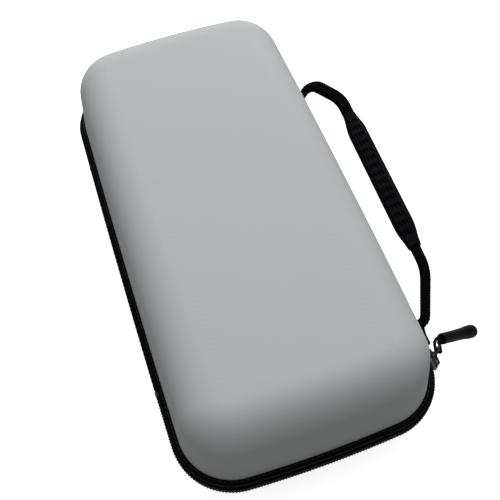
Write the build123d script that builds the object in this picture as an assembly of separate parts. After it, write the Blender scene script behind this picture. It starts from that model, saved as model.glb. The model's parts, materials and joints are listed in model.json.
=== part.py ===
from build123d import *
import math
import os

# A moulded, zippered hard case: a base tray and a domed lid joined by a fabric hinge along one long
# side, a coil zipper with two sliders round the other three, and a webbing handle with a rubber grip.
# Frame: origin at the centre of the base's resting face, +Z up, Y along the case, handle at +X.

# ---- plan outline, measured at the outermost line of the zipper band (mm)
HALF_LENGTH = 130.0          # to the line through the corners; the ends bow out further
HALF_WIDTH = 67.25
CORNER_R = 31.3
END_BOW = 3.6
SIDE_BOW = 1.0

# ---- heights
BASE_RIM_Z = 36.0            # where the base wall meets its flange
LID_RIM_Z = 46.0             # where the lid wall meets its flange
MID_Z = (BASE_RIM_Z + LID_RIM_Z) / 2
LID_TOP_Z = 90.5

# ---- moulded shells
WALL_INSET = 4.4             # the zipper band stands this far outside the shell walls
WALL = 4.5
LINING = 1.0
LID_DRAFT = 0.12             # inward lean of the wall per mm of height
LID_EDGE_R = 20.0
BASE_DRAFT = 0.16
BASE_EDGE_R = 18.0
FLANGE_T = 1.6
FLANGE_INSET = 2.2

# ---- zipper band
TAPE_T = 0.6
COIL_INSET = 0.1
COIL_DEPTH = 2.4
COIL_H = 2.35
CHAIN_GAP = 0.8              # open line between the two half chains, for the slider's web
COIL_END_Y = 75.0            # the chain runs from here, round the case, to the same place
STOP_L = 2.0
SPINE_HALF = 72.5            # half length of the fabric hinge
SPINE_INSET = 0.5
SPINE_T = 1.1
SPINE_GAP = 0.2
SPINE_OVERLAP = 4.9          # how far the hinge fabric reaches above and below the middle

# ---- zipper sliders
SLIDER_L = 10.6
SLIDER_H = 7.4
OUTER_PLATE = (0.75, 1.85)   # from the outline, outward
INNER_PLATE = (-4.0, -3.1)
INNER_PLATE_H = 5.2
WEB_T = 0.5
BRIDGE_L = 7.2
BRIDGE_W = 1.8
BRIDGE_TOP = 4.15
BRIDGE_GAP_TOP = 3.3
BRIDGE_FOOT = 1.0
TAB_PIVOT = 2.58             # from the outline, outward
WIRE_R = 0.6
TAB_L = 10.0
TAB_W = 5.4
TAB_CORNER = 1.2
NEAR_TAB_L = 6.0
CORD_R = 0.6
CORD_BEND = 1.45
CORD_SLACK = 0.5             # the bend sits this far behind the bar
PULL_ROOT = 4.3
PULL_L = 28.5
PULL_PROFILE = ((0.0, 2.7), (0.6, 3.0), (12.0, 3.05), (17.0, 3.2), (22.0, 3.65))
PULL_TIP_R = 3.7
NEAR_CORD_R = 0.85           # the near cord is thicker, and turns on its way to the pull
NEAR_CORD_BEND = 1.6
NEAR_CORD_LEAN = 58.0
NEAR_CORD_RUN = 5.2          # from the bar to where the cord turns
NEAR_CORD_TURN_R = 3.2
NEAR_CORD_LAST = 1.8         # from the end of the turn to the pull
NEAR_SLIDER_Y = -102.8
FAR_SLIDER_Y = -91.7
NEAR_TAB_AZIMUTH = 48.0
FAR_TAB_AZIMUTH = 78.0
NEAR_PULL_AZIMUTH = 7.0
NEAR_PULL_DROOP = 30.0
FAR_PULL_AT = 8.2            # along the far tab's lower arm

# ---- handle
HANDLE_AXIS_X = 66.1
HANDLE_AXIS_Z = 48.5
HANDLE_TILT = 16.0
WEB_FAR_Y = 75.5
WEB_NEAR_Y = -86.2
STRAP_W = 5.0
STRAP_T = 3.2
STRAP_CORNERS = ((10.2, 83.4, 6.5), (21.9, 61.8, 25.0), (18.3, -60.0, 30.0), (5.6, -86.2, 5.0))
GRIP_AT = (20.15, 1.2)       # out and along, on the strap's long straight run
GRIP_TURN = 1.69             # that run's angle to the case, in degrees
GRIP_HALF = 48.0
GRIP_W = 11.0
GRIP_T = 8.6
GRIP_END_W = 7.4
GRIP_END_T = 5.8
GRIP_TAPER_L = 15.0
GRIP_ROWS = 15
GRIP_COLUMNS = 4
GRIP_ROW_PITCH = 5.7
GRIP_COLUMN_PITCH = 2.0
GRIP_COLUMN_SHIFT = -1.15    # the rows lie nearer the case's side of the grip
DIMPLE = (1.2, 2.6, 0.9)     # across, along, deep
PATCH_L = 13.0
PATCH_H = 9.0
PATCH_T = 0.9

# ---- inside
INSERT_GAP = 0.5
INSERT_BOTTOM_Z = 6.0
INSERT_TOP_Z = 34.5
BAY_FLOOR_Z = 10.0
DEVICE_BAY = (92.0, 154.0, 29.5)      # across, along, centre along the case
SMALL_BAY = (90.0, 46.0, -82.5)
BAY_CORNER = 8.0
NET_Z = 76.5
NET_T = 0.8
NET_MARGIN = 17.5            # from the outline to the edge of the net
NET_OPEN_X = 30.0            # the pocket opens towards the handle side
GUSSET_T = 1.2
GUSSET_TOP_Z = 80.8

BIG = 400.0


def side_circle(half_chord, bow):
    """Radius and centre offset of the shallow arc through both corners of a side."""
    radius = (half_chord ** 2 + bow ** 2) / (2 * bow)
    return radius, bow - radius


SIDE_R, SIDE_SHIFT = side_circle(HALF_LENGTH, SIDE_BOW)
END_R, END_SHIFT = side_circle(HALF_WIDTH, END_BOW)
SIDE_CX = HALF_WIDTH + SIDE_SHIFT
END_CY = HALF_LENGTH + END_SHIFT


def corner_centre():
    """Centre of the corner arc that touches a long side and an end."""
    x, y = HALF_WIDTH - CORNER_R, HALF_LENGTH - CORNER_R
    for _ in range(40):
        x = SIDE_CX + math.sqrt((SIDE_R - CORNER_R) ** 2 - y ** 2)
        y = END_CY + math.sqrt((END_R - CORNER_R) ** 2 - x ** 2)
    return x, y


def side_x(y):
    """Outermost x of the long side at a place along the case."""
    return SIDE_CX + math.sqrt(SIDE_R ** 2 - y ** 2)


def outline(inset=0.0):
    """The plan outline, moved inwards by inset, as a face at z = 0."""
    corners = [(HALF_WIDTH, HALF_LENGTH), (-HALF_WIDTH, HALF_LENGTH)]
    corners += [(-HALF_WIDTH, -HALF_LENGTH), (HALF_WIDTH, -HALF_LENGTH)]
    bows = [(0, HALF_LENGTH + END_BOW), (-HALF_WIDTH - SIDE_BOW, 0)]
    bows += [(0, -HALF_LENGTH - END_BOW), (HALF_WIDTH + SIDE_BOW, 0)]
    arcs = [ThreePointArc(corners[i], bows[i], corners[(i + 1) % 4]) for i in range(4)]
    sharp = make_face(Wire(arcs))
    full = fillet(sharp.vertices(), CORNER_R)
    if inset == 0:
        return full
    return offset(full, amount=-inset, kind=Kind.ARC)


def plate(inset, z0, z1):
    """A flat plate of the outline's shape between two heights."""
    return Pos(0, 0, z0) * extrude(outline(inset), amount=z1 - z0)


def ring(outer_inset, inner_inset, z0, z1):
    """A band that follows the outline."""
    return plate(outer_inset, z0, z1) - plate(inner_inset, z0 - 1, z1 + 1)


def dome(inset, height, draft, edge_r):
    """A drafted block on z = 0 with a large rounded top edge."""
    block = extrude(outline(inset), amount=height, taper=math.degrees(math.atan(draft)))
    top = block.faces().sort_by(Axis.Z)[-1]
    return fillet(top.edges(), edge_r)


def lid_dome(depth):
    """The lid's dome, depth mm inside its outer surface."""
    height = LID_TOP_Z - LID_RIM_Z - depth
    return Pos(0, 0, LID_RIM_Z) * dome(WALL_INSET + depth, height, LID_DRAFT, LID_EDGE_R - depth)


def base_dome(depth):
    """The base's bowl, depth mm inside its outer surface."""
    height = BASE_RIM_Z - depth
    bowl = dome(WALL_INSET + depth, height, BASE_DRAFT, BASE_EDGE_R - depth)
    return Pos(0, 0, BASE_RIM_Z) * mirror(bowl, about=Plane.XY)


def block_at(x0, x1, y0, y1, z0, z1):
    """A box between two corners."""
    centre = ((x0 + x1) / 2, (y0 + y1) / 2, (z0 + z1) / 2)
    return Pos(*centre) * Box(x1 - x0, y1 - y0, z1 - z0)


# ---- shells and linings

def lid_shell():
    flange = ring(FLANGE_INSET, WALL_INSET + WALL, LID_RIM_Z - FLANGE_T, LID_RIM_Z)
    return lid_dome(0) - lid_dome(WALL) + flange


def base_shell():
    flange = ring(FLANGE_INSET, WALL_INSET + WALL, BASE_RIM_Z, BASE_RIM_Z + FLANGE_T)
    return base_dome(0) - base_dome(WALL) + flange


def lid_lining():
    inset = WALL_INSET + WALL
    skirt = ring(inset, inset + LINING, LID_RIM_Z - FLANGE_T, LID_RIM_Z)
    return lid_dome(WALL) - lid_dome(WALL + LINING) + skirt


def base_lining():
    inset = WALL_INSET + WALL
    skirt = ring(inset, inset + LINING, BASE_RIM_Z, BASE_RIM_Z + FLANGE_T)
    return base_dome(WALL) - base_dome(WALL + LINING) + skirt


# ---- zipper band; side is +1 for the lid and -1 for the base

def band_z(side, distance):
    """Height at a distance above (lid) or below (base) the parting plane."""
    return MID_Z + side * distance


def band_ring(side, outer_inset, inner_inset, near, far):
    """A band between two distances from the parting plane."""
    z0, z1 = sorted((band_z(side, near), band_z(side, far)))
    return ring(outer_inset, inner_inset, z0, z1)


HALF_BAND = LID_RIM_Z - MID_Z                       # parting plane to the flange's wall side
LEAF_NEAR = HALF_BAND - FLANGE_T - TAPE_T           # parting plane to the tape under the flange


def rim_tape(side):
    """Woven tape folded round the flange: outer leaf, rolled edge and inner leaf."""
    outer_leaf = band_ring(side, FLANGE_INSET, WALL_INSET, HALF_BAND, HALF_BAND + TAPE_T)
    roll = band_ring(side, FLANGE_INSET - TAPE_T, FLANGE_INSET, LEAF_NEAR, HALF_BAND + TAPE_T)
    leaf_end = WALL_INSET + WALL - 0.4
    inner_leaf = band_ring(side, FLANGE_INSET, leaf_end, LEAF_NEAR, LEAF_NEAR + TAPE_T)
    return outer_leaf + roll + inner_leaf


def half_chain(side):
    """One half of the coil, from the hinge's near end round the case to its far end."""
    near = CHAIN_GAP / 2
    coil = band_ring(side, COIL_INSET, COIL_INSET + COIL_DEPTH, near, near + COIL_H)
    return coil - block_at(-BIG, 0, -COIL_END_Y, COIL_END_Y, 0, BIG)


def chain_stops(side):
    """The two stops clamped on the ends of one half chain."""
    near = CHAIN_GAP / 2
    strip = band_ring(side, COIL_INSET, COIL_INSET + COIL_DEPTH + 0.2, near, near + COIL_H)
    stops = [strip & block_at(-BIG, 0, s * COIL_END_Y - (s > 0) * STOP_L,
                              s * COIL_END_Y + (s < 0) * STOP_L, 0, BIG) for s in (1, -1)]
    return Compound(children=[solid for stop in stops for solid in stop.solids()])


def hinge_spine(side):
    """One half of the fabric hinge, sewn over the tape along the plain long side."""
    strip = band_ring(side, SPINE_INSET, SPINE_INSET + SPINE_T, SPINE_GAP / 2, SPINE_OVERLAP)
    return strip & block_at(-BIG, 0, -SPINE_HALF, SPINE_HALF, 0, BIG)


def inner_binding(side):
    """Binding over the raw edge of the lining, inside the rim."""
    outer_inset = WALL_INSET + WALL - 0.4
    near = HALF_BAND - FLANGE_T - 1.5
    return band_ring(side, outer_inset, outer_inset + 1.8, near, HALF_BAND - FLANGE_T)


# ---- sliders, in their own frame: x outward from the outline, y along the chain, z up

def slider_body(front):
    """Two plates joined by a web at the front end; front is +1 or -1 along the chain."""
    v0, v1 = OUTER_PLATE
    outer = block_at(v0, v1, -SLIDER_L / 2, SLIDER_L / 2, -SLIDER_H / 2, SLIDER_H / 2)
    outer = chamfer(outer.edges().filter_by(Axis.X), 1.5)
    outer = fillet(outer.faces().sort_by(Axis.X)[-1].edges(), 0.35)
    w0, w1 = INNER_PLATE
    half = SLIDER_L / 2 - 0.5
    inner = block_at(w0, w1, -half, half, -INNER_PLATE_H / 2, INNER_PLATE_H / 2)
    inner = chamfer(inner.edges().filter_by(Axis.X), 1.0)
    y0, y1 = sorted((front * 1.0, front * (SLIDER_L / 2 - 0.8)))
    web = block_at(w1 - 0.1, v0 + 0.1, y0, y1, -WEB_T / 2, WEB_T / 2)
    return outer + inner + web


def slider_bridge():
    """The arch on the slider that holds the wire tab."""
    v0 = OUTER_PLATE[1]
    half = BRIDGE_L / 2
    arch = block_at(v0, BRIDGE_TOP, -half, half, -BRIDGE_W / 2, BRIDGE_W / 2)
    arch = fillet(arch.edges().filter_by(Axis.Z).sort_by(Axis.X)[-2:], 0.8)
    inner_half = half - BRIDGE_FOOT
    return arch - block_at(v0 - 1, BRIDGE_GAP_TOP, -inner_half, inner_half, -BRIDGE_W, BRIDGE_W)


def wire_tab(length):
    """A closed wire loop lying along +x, pivoting about its own end bar at the origin."""
    loop = Pos(length / 2, 0, 0) * (Rot(90, 0, 0) * RectangleRounded(length, TAB_W, TAB_CORNER))
    path = loop.wire()
    start = path.position_at(0)
    section = Plane(origin=start, z_dir=path.tangent_at(0)) * Circle(WIRE_R)
    return sweep(section, path=path)


def pull_cord():
    """The cord bent round the bar at the origin, both legs running along +x to the pull."""
    leg = Rot(0, 90, 0) * Cylinder(CORD_R, PULL_ROOT + CORD_SLACK,
                                   align=(Align.CENTER, Align.CENTER, Align.MIN))
    bend = Torus(CORD_BEND, CORD_R) & block_at(-5, 0, -5, 5, -2, 2)
    loop = Pos(0, CORD_BEND, 0) * leg + Pos(0, -CORD_BEND, 0) * leg + bend
    return Pos(-CORD_SLACK, 0, 0) * loop


def near_pull_cord():
    """The thicker cord bent round the bar at the origin, which turns on its way to the pull."""
    lean = math.radians(NEAR_CORD_LEAN)
    ahead = Vector(math.cos(lean), math.sin(lean))
    aside = Vector(-math.sin(lean), math.cos(lean))
    back = ahead * -CORD_SLACK
    root_x, root_y = near_root()
    legs = []
    for side in (1, -1):
        foot = back + aside * side * NEAR_CORD_BEND
        y = root_y + side * NEAR_CORD_BEND
        corner = foot + ahead * ((y - foot.Y) / ahead.Y)
        end = Vector(root_x, y)
        radius = NEAR_CORD_TURN_R + side * NEAR_CORD_BEND
        cut = radius * math.tan(lean / 2)
        before, after = corner - ahead * cut, corner + Vector(cut, 0)
        legs.append([Line(foot, before), TangentArc(before, after, tangent=ahead), Line(after, end)])
    bend = ThreePointArc(legs[0][0] @ 0, back - ahead * NEAR_CORD_BEND, legs[1][0] @ 0)
    path = Wire([edge for curve in [*legs[0], bend, *legs[1]] for edge in curve.edges()])
    section = Plane(origin=path.position_at(0), z_dir=path.tangent_at(0)) * Circle(NEAR_CORD_R)
    return sweep(section, path=path)


def near_root():
    """Where the near pull starts, in the cord's own frame."""
    lean = math.radians(NEAR_CORD_LEAN)
    x = NEAR_CORD_RUN * math.cos(lean) + NEAR_CORD_TURN_R * math.tan(lean / 2) + NEAR_CORD_LAST
    return x, NEAR_CORD_RUN * math.sin(lean)


def near_rubber_pull():
    x, y = near_root()
    return Pos(x - PULL_ROOT, y, 0) * rubber_pull()


def rubber_pull():
    """The moulded pull: a round bar that swells to a domed end."""
    points = [(PULL_ROOT + x, r) for x, r in PULL_PROFILE]
    tip_x = PULL_ROOT + PULL_L
    shoulder = (tip_x - PULL_TIP_R, PULL_TIP_R)
    mid = (tip_x - PULL_TIP_R * (1 - math.sqrt(0.5)), PULL_TIP_R * math.sqrt(0.5))
    edge = Polyline((PULL_ROOT, 0), *points, shoulder)
    cap = ThreePointArc(shoulder, mid, (tip_x, 0))
    axis = Line((tip_x, 0), (PULL_ROOT, 0))
    return revolve(make_face(Wire([*edge.edges(), cap, axis])), axis=Axis.X)


CORNER_X, CORNER_Y = corner_centre()
NEAR_ANGLE = math.degrees(math.asin((NEAR_SLIDER_Y + CORNER_Y) / CORNER_R))


def near_slider_place():
    turn = math.radians(NEAR_ANGLE)
    x = CORNER_X + CORNER_R * math.cos(turn)
    return Pos(x, NEAR_SLIDER_Y, MID_Z) * Rot(0, 0, NEAR_ANGLE)


def far_slider_place():
    return Pos(side_x(FAR_SLIDER_Y), FAR_SLIDER_Y, MID_Z)


def tab_place(slider_place, azimuth):
    """Where a tab's pivot is, turned to its azimuth from +X."""
    pivot = (slider_place * Pos(TAB_PIVOT, 0, 0)).position
    return Pos(pivot.X, pivot.Y, pivot.Z) * Rot(0, 0, azimuth)


def near_pull_place():
    bar = (tab_place(near_slider_place(), NEAR_TAB_AZIMUTH) * Pos(NEAR_TAB_L, 0, 0)).position
    return Pos(bar.X, bar.Y, bar.Z) * Rot(0, 0, NEAR_PULL_AZIMUTH) * Rot(0, NEAR_PULL_DROOP, 0)


def far_pull_place():
    """The far cord hangs straight down from the tab's lower arm."""
    tab = tab_place(far_slider_place(), FAR_TAB_AZIMUTH)
    arm = (tab * Pos(FAR_PULL_AT, 0, -TAB_W / 2)).position
    return Pos(arm.X, arm.Y, arm.Z) * Rot(0, 0, FAR_TAB_AZIMUTH) * Rot(0, 90, 0)


# ---- handle, in its own frame: x outward from the swing axis, y along the case, z off its plane

def handle_place():
    return Pos(HANDLE_AXIS_X, 0, HANDLE_AXIS_Z) * Rot(0, -HANDLE_TILT, 0)


def strap_route():
    """The strap's centre line: straight runs joined by arcs that touch them."""
    points = [(0.0, WEB_FAR_Y)] + [(x, y) for x, y, _ in STRAP_CORNERS] + [(0.0, WEB_NEAR_Y)]
    radii = [r for _, _, r in STRAP_CORNERS]
    edges = []
    start = Vector(*points[0])
    for i, radius in enumerate(radii, 1):
        a, b, c = (Vector(*points[k]) for k in (i - 1, i, i + 1))
        into, out = (b - a).normalized(), (c - b).normalized()
        turn = math.acos(max(-1.0, min(1.0, into.dot(out))))
        cut = radius * math.tan(turn / 2)
        p, q = b - into * cut, b + out * cut
        edges.append(Line(start, p))
        edges.append(TangentArc(p, q, tangent=into))
        start = q
    edges.append(Line(start, Vector(*points[-1])))
    return Wire([edge for curve in edges for edge in curve.edges()])


def strap_solid(width, thickness, corner):
    """The strap's section swept along its route."""
    path = strap_route()
    direction = path.tangent_at(0)
    section = Plane(origin=path.position_at(0), x_dir=(0, 0, 1), z_dir=direction)
    return sweep(section * RectangleRounded(thickness, width, corner), path=path)


def handle_webbing():
    knuckle = Rot(90, 0, 0) * Cylinder(STRAP_T / 2, STRAP_W)
    ends = [Pos(0, y, 0) * knuckle for y in (WEB_FAR_Y, WEB_NEAR_Y)]
    strap = strap_solid(STRAP_W, STRAP_T, 0.9)
    trim = block_at(-10, 0, -BIG, BIG, -10, 10)
    return strap - trim + ends[0] + ends[1]


def boat_outline(half_length, width, end_width, taper):
    """A long outline that narrows smoothly to both ends."""
    w, e, h = width / 2, end_width / 2, half_length
    top = [(w, -h + taper), (w, h - taper)]
    sides = [Line(top[0], top[1])]
    sides += [Spline((w, h - taper), (e, h), tangents=[(0, 1), (-0.5, 1)])]
    sides += [Line((e, h), (-e, h))]
    sides += [Spline((-e, h), (-w, h - taper), tangents=[(-0.5, -1), (0, -1)])]
    sides += [Line((-w, h - taper), (-w, -h + taper))]
    sides += [Spline((-w, -h + taper), (-e, -h), tangents=[(0, -1), (0.5, -1)])]
    sides += [Line((-e, -h), (e, -h))]
    sides += [Spline((e, -h), (w, -h + taper), tangents=[(0.5, 1), (0, 1)])]
    return make_face(Wire(sides))


def handle_grip():
    """The moulded grip: boat shaped both ways, with rows of dimples on both flat faces."""
    plan = boat_outline(GRIP_HALF, GRIP_W, GRIP_END_W, GRIP_TAPER_L)
    side = boat_outline(GRIP_HALF, GRIP_T, GRIP_END_T, GRIP_TAPER_L)
    body = extrude(plan, amount=GRIP_T, both=True)
    body = body & (Rot(0, 90, 0) * extrude(side, amount=GRIP_W, both=True))
    long_edges = body.edges().filter_by(lambda e: e.length > 20)
    body = fillet(long_edges, 2.4)
    across, along, deep = DIMPLE
    cutters = []
    for row in range(GRIP_ROWS):
        y = (row - (GRIP_ROWS - 1) / 2) * GRIP_ROW_PITCH
        for column in range(GRIP_COLUMNS):
            x = GRIP_COLUMN_SHIFT + (column - (GRIP_COLUMNS - 1) / 2) * GRIP_COLUMN_PITCH
            cutters += [Pos(x, y, s * GRIP_T / 2) * Box(across, along, 2 * deep) for s in (1, -1)]
    body = Pos(*GRIP_AT, 0) * Rot(0, 0, -GRIP_TURN) * (body - cutters)
    return body - strap_solid(STRAP_W, STRAP_T, 0.9)


def handle_patch(y):
    """The reinforcing patch under one end of the webbing, on the lid's wall."""
    skin = Pos(0, 0, LID_RIM_Z) * (dome(WALL_INSET - PATCH_T, 30, LID_DRAFT, 5)
                                   - dome(WALL_INSET, 40, LID_DRAFT, 5))
    z0 = LID_RIM_Z + TAPE_T
    return skin & block_at(0, BIG, y - PATCH_L / 2, y + PATCH_L / 2, z0, z0 + PATCH_H)


# ---- inside

def insert_foam(z0, z1):
    """A slab of the foam insert between two heights, fitted to the lined base."""
    depth = WALL + LINING + INSERT_GAP
    return base_dome(depth) & block_at(-BIG, BIG, -BIG, BIG, z0, z1)


def insert_floor():
    """The plain foam sheet under the bays."""
    return insert_foam(INSERT_BOTTOM_Z, BAY_FLOOR_Z)


def insert_frame():
    """The thick foam frame with a bay for the device and a bay for small things."""
    foam = insert_foam(BAY_FLOOR_Z, INSERT_TOP_Z)
    for width, length, centre in (DEVICE_BAY, SMALL_BAY):
        window = extrude(RectangleRounded(width, length, BAY_CORNER), amount=BIG)
        foam = foam - Pos(0, centre, 0) * window
    return foam


def pocket_side(z0, z1, margin):
    """The pocket's plan shape, cut off along its opening edge."""
    return plate(margin, z0, z1) & block_at(-BIG, NET_OPEN_X, -BIG, BIG, 0, BIG)


def pocket_net():
    return pocket_side(NET_Z, NET_Z + NET_T, NET_MARGIN)


def pocket_gusset():
    """The narrow wall that joins the net to the lid on the three closed sides."""
    wall = pocket_side(NET_Z + NET_T, GUSSET_TOP_Z, NET_MARGIN)
    hollow = plate(NET_MARGIN + GUSSET_T, NET_Z, GUSSET_TOP_Z + 1)
    return wall - hollow


def pocket_elastic():
    """Elastic binding along the pocket's opening edge."""
    reach = plate(NET_MARGIN + 2.0, NET_Z - 1.0, NET_Z + NET_T + 1.0)
    return reach & block_at(NET_OPEN_X, NET_OPEN_X + 3.0, -BIG, BIG, 0, BIG)


def write(node, shape):
    """One STEP file for one node."""
    export_step(shape, f"parts/{node}.step")


def main():
    os.makedirs("parts", exist_ok=True)
    write("lid_shell", lid_shell())
    write("base_shell", base_shell())
    write("lid_lining", lid_lining())
    write("base_lining", base_lining())
    for name, side in (("lid", 1), ("base", -1)):
        write(f"{name}_rim_tape", rim_tape(side))
        write(f"{name}_zip_coil", half_chain(side))
        write(f"{name}_zip_stops", chain_stops(side))
        write(f"{name}_hinge_spine", hinge_spine(side))
        write(f"{name}_inner_binding", inner_binding(side))
    sliders = (
        ("near", near_slider_place(), 1, NEAR_TAB_AZIMUTH, NEAR_TAB_L),
        ("far", far_slider_place(), -1, FAR_TAB_AZIMUTH, TAB_L),
    )
    for name, place, front, azimuth, tab_length in sliders:
        write(f"{name}_slider_body", place * slider_body(front))
        write(f"{name}_slider_bridge", place * slider_bridge())
        write(f"{name}_slider_tab", tab_place(place, azimuth) * wire_tab(tab_length))
    write("near_pull_cord", near_pull_place() * near_pull_cord())
    write("near_rubber_pull", near_pull_place() * near_rubber_pull())
    write("far_pull_cord", far_pull_place() * pull_cord())
    write("far_rubber_pull", far_pull_place() * rubber_pull())
    write("handle_webbing", handle_place() * handle_webbing())
    write("handle_grip", handle_place() * handle_grip())
    write("handle_patch_near", handle_patch(WEB_NEAR_Y))
    write("handle_patch_far", handle_patch(WEB_FAR_Y))
    write("insert_floor", insert_floor())
    write("insert_frame", insert_frame())
    write("pocket_net", pocket_net())
    write("pocket_gusset", pocket_gusset())
    write("pocket_elastic", pocket_elastic())


main()
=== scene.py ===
import json
import math
import bmesh
import bpy
from mathutils import Matrix, Vector

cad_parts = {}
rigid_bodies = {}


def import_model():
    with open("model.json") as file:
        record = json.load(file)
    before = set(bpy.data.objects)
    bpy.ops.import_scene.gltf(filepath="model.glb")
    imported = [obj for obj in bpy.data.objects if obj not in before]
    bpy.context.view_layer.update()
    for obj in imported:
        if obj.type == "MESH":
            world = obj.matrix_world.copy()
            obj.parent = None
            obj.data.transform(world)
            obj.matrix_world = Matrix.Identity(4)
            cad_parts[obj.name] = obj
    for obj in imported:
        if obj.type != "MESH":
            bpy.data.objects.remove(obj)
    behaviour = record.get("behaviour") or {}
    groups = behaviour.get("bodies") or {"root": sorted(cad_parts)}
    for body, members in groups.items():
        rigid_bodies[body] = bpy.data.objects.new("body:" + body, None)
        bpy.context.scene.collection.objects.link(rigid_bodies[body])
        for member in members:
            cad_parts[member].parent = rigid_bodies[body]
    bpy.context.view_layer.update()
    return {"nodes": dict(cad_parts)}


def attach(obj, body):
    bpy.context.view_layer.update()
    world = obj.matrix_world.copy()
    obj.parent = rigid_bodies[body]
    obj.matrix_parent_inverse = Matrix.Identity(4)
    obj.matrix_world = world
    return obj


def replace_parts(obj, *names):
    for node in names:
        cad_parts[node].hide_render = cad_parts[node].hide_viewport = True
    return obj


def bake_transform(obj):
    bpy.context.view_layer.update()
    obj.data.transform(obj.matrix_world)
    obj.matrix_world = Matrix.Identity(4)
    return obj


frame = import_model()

# A moulded, zippered hard case: twill laminated EVA shells, a coil zipper with two sliders, a cloth
# hinge, a webbing handle with a dimpled rubber grip, and a lined inside with foam insert and net pocket.
# Sizes are in millimetres, and are brought to metres where meshes are made.
MM = 0.001

# ---- plan outline of the zipper band
HALF_LENGTH, HALF_WIDTH, CORNER_R = 130.0, 67.25, 31.3
END_BOW, SIDE_BOW = 3.6, 1.0
# ---- heights and shells
BASE_RIM_Z, LID_RIM_Z, LID_TOP_Z, MID_Z = 36.0, 46.0, 90.5, 41.0
WALL_INSET, WALL, LINING = 4.4, 4.5, 1.0
LID_DRAFT, LID_EDGE_R = 0.12, 20.0
BASE_DRAFT, BASE_EDGE_R = 0.16, 18.0
LID_CROWN, BASE_CROWN = 1.3, 0.0      # how far the top falls from its middle to its edge
# ---- zipper band
FLANGE_T, FLANGE_INSET, TAPE_T = 1.6, 2.2, 0.6
COIL_INSET, COIL_DEPTH, COIL_H, CHAIN_GAP = 0.1, 2.4, 2.35, 0.8
COIL_PITCH, COIL_WIRE_R, COIL_END_Y, FILLER_INSET = 1.5, 0.42, 75.0, 0.35
SPINE_HALF, SPINE_INSET, SPINE_T, SPINE_REACH = 72.5, 0.5, 1.1, 4.9
# ---- handle, in its own frame: x outward from the swing axis, y along the case, z off its plane
HANDLE_AXIS, HANDLE_TILT = (66.1, 0.0, 48.5), 16.0
STRAP_W, STRAP_T, WEB_FAR_Y, WEB_NEAR_Y = 5.0, 3.2, 75.5, -86.2
STRAP_NEAR_SPREAD, STRAP_FAR_SPREAD, STRAP_PATCH_SPREAD = 0.95, 1.5, 0.95
STRAP_CORNERS = ((10.2, 83.4, 6.5), (21.9, 61.8, 25.0), (18.3, -60.0, 30.0), (5.6, -86.2, 5.0))
GRIP_AT, GRIP_TURN, GRIP_HALF, GRIP_W, GRIP_T = (20.15, 1.2), 1.69, 48.0, 11.0, 8.6
GRIP_END_W, GRIP_END_T, GRIP_TAPER_L = 7.4, 5.8, 15.0
GRIP_ROWS, GRIP_COLUMNS, GRIP_ROW_PITCH, GRIP_COLUMN_PITCH = 15, 4, 5.7, 2.0
GRIP_SHIFT, DIMPLE = -1.15, (1.2, 2.6, 0.9)
PATCH_L, PATCH_H, PATCH_T = 13.0, 9.0, 0.9
# ---- pulls
CORD_R, CORD_BEND, CORD_SLACK, PULL_ROOT = 0.6, 1.45, 0.5, 4.3
NEAR_CORD_R, NEAR_CORD_BEND, NEAR_CORD_LEAN, NEAR_CORD_RUN = 0.85, 1.6, 58.0, 5.2
NEAR_CORD_TURN_R, NEAR_CORD_LAST, LEG_GAP = 3.2, 1.8, 1.15     # the gap is a share of the cord's radius
TAB_PIVOT, NEAR_TAB_L, TAB_W = 2.58, 6.0, 5.4
NEAR_SLIDER_Y, FAR_SLIDER_Y = -102.8, -91.7
NEAR_TAB_AZIMUTH, FAR_TAB_AZIMUTH = 48.0, 78.0
NEAR_PULL_AZIMUTH, NEAR_PULL_DROOP, FAR_PULL_AT = 7.0, 30.0, 8.2
# ---- inside
NET_Z, NET_T, NET_MARGIN, NET_OPEN_X = 76.5, 0.8, 17.5, 30.0
GUSSET_T, GUSSET_TOP_Z = 1.2, 80.8
NET_CELL, NET_STRAND = 2.5, 0.5


# ---------------------------------------------------------------- small helpers

def add(tree, kind, inputs=None, out=0, **settings):
    """Adds one node with its settings and links, and returns its output (or the node, if out is None)."""
    node = tree.nodes.new(kind)
    for name, value in settings.items():
        setattr(node, name, value)
    for name, value in (inputs or {}).items():
        if isinstance(value, bpy.types.NodeSocket):
            tree.links.new(value, node.inputs[name])
        else:
            node.inputs[name].default_value = value
    return node if out is None else node.outputs[out]


def linear(code):
    """An sRGB hex colour as linear RGBA."""
    parts = [int(code[i:i + 2], 16) / 255 for i in (1, 3, 5)]
    return [c / 12.92 if c <= 0.04045 else ((c + 0.055) / 1.055) ** 2.4 for c in parts] + [1.0]


def new_tree(name, **inputs):
    """A geometry tree with named inputs; returns it with its inputs by name."""
    tree = bpy.data.node_groups.new(name, "GeometryNodeTree")
    tree.interface.new_socket("Geometry", in_out="OUTPUT", socket_type="NodeSocketGeometry")
    for socket, kind in inputs.items():
        label = socket.replace("_", " ")
        tree.interface.new_socket(label, in_out="INPUT", socket_type="NodeSocket" + kind)
    given = add(tree, "NodeGroupInput", out=None)
    return tree, {socket: given.outputs[socket.replace("_", " ")] for socket in inputs}


def close_tree(tree, geometry, material):
    """Ends a tree in Realize Instances and Set Material."""
    real = add(tree, "GeometryNodeRealizeInstances", {"Geometry": geometry})
    done = add(tree, "GeometryNodeSetMaterial", {"Geometry": real, "Material": material})
    add(tree, "NodeGroupOutput", {"Geometry": done}, out=None)
    return tree


def tidy_mesh(mesh, closed=True, sharp=40.0):
    """Merges doubles, turns the faces outward and shades them smooth."""
    bm = bmesh.new()
    bm.from_mesh(mesh)
    bmesh.ops.remove_doubles(bm, verts=bm.verts, dist=2e-6)
    bmesh.ops.dissolve_degenerate(bm, edges=bm.edges, dist=1e-6)
    if closed:
        bmesh.ops.recalc_face_normals(bm, faces=bm.faces)
    bm.to_mesh(mesh)
    bm.free()
    mesh.shade_smooth()
    mesh.set_sharp_from_angle(angle=math.radians(sharp))


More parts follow.
